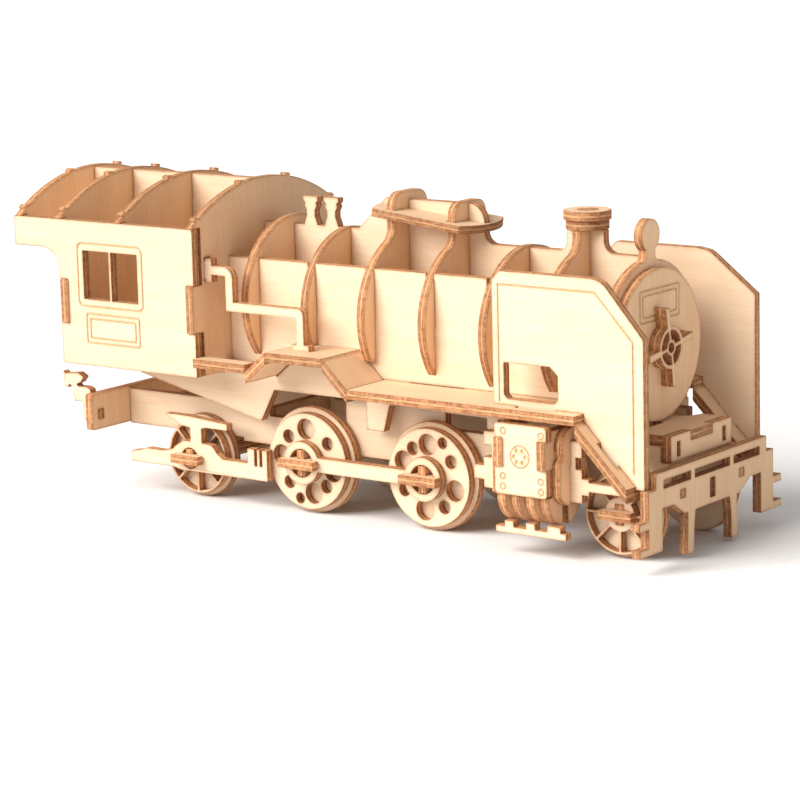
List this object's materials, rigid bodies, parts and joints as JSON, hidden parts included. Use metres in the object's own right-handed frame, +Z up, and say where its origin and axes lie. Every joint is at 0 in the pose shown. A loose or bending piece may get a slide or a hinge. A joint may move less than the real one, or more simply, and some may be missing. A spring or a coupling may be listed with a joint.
{
  "type": "jigsaw locomotive model",
  "caption": "Slot-together plywood model of a tender steam locomotive with open ribs, cab, smoke deflectors and turning wheelsets.",
  "frame": {"origin": "on the rail level, in the middle plane, under the boiler between the driving axles", "axes": "+X towards the smokebox door, +Y to the left side, +Z up"},
  "size_m": [0.2559, 0.0848, 0.108],
  "materials": {
    "plywood": "matte, bare laser-cut 3-ply with scorched edges"
  },
  "bodies": {
    "locomotive": {"spine_plate": "plywood", "boiler_side_right": "plywood", "boiler_side_left": "plywood", "rib_1": "plywood", "rib_2": "plywood", "dome_rib_rear": "plywood", "dome_rib_front": "plywood", "rib_5": "plywood", "chimney_rib": "plywood", "smokebox_ring": "plywood", "smokebox_door": "plywood", "door_handle": "plywood", "chimney_cap_lower": "plywood", "chimney_cap_upper": "plywood", "dome_collar": "plywood", "cab_side_right": "plywood", "cab_side_left": "plywood", "cab_front_wall": "plywood", "cab_rear_wall": "plywood", "cab_floor": "plywood", "roof_arches": "plywood", "roof_ridge": "plywood", "footplate": "plywood", "low_boards": "plywood", "rear_slopes": "plywood", "platforms": "plywood", "middle_slopes": "plywood", "front_slopes": "plywood", "handrails": "plywood", "deflector_right": "plywood", "deflector_left": "plywood", "skirts": "plywood", "frame_right": "plywood", "frame_left": "plywood", "frame_stretchers": "plywood", "rear_beam": "plywood", "rear_hooks": "plywood", "front_beam": "plywood", "deck_top": "plywood", "deck_front": "plywood", "cylinder_covers": "plywood", "cylinder_ends": "plywood", "cylinder_discs": "plywood", "cylinder_webs": "plywood", "drain_rails": "plywood", "coupling_rods": "plywood", "trailing_side_frames": "plywood"},
    "trailing_wheelset": {"trailing_faces": "plywood", "trailing_flanges": "plywood", "trailing_axle": "plywood"},
    "rear_driver_wheelset": {"driver_1_faces": "plywood", "driver_1_flanges": "plywood", "driver_1_axle": "plywood"},
    "front_driver_wheelset": {"driver_2_faces": "plywood", "driver_2_flanges": "plywood", "driver_2_axle": "plywood"},
    "pilot_wheelset": {"pilot_faces": "plywood", "pilot_flanges": "plywood", "pilot_axle": "plywood"}
  },
  "joints": [
    {"name": "trailing_axle_spin", "type": "hinge", "parent": "locomotive", "child": "trailing_wheelset", "pos_m": [-0.0824, 0, 0.0142], "axis": [0, 1, 0], "continuous": true},
    {"name": "rear_driver_axle_spin", "type": "hinge", "parent": "locomotive", "child": "rear_driver_wheelset", "pos_m": [-0.034, 0, 0.0178], "axis": [0, 1, 0], "continuous": true},
    {"name": "front_driver_axle_spin", "type": "hinge", "parent": "locomotive", "child": "front_driver_wheelset", "pos_m": [0.0157, 0, 0.0178], "axis": [0, 1, 0], "continuous": true},
    {"name": "pilot_axle_spin", "type": "hinge", "parent": "locomotive", "child": "pilot_wheelset", "pos_m": [0.0883, 0, 0.0142], "axis": [0, 1, 0], "continuous": true}
  ]
}
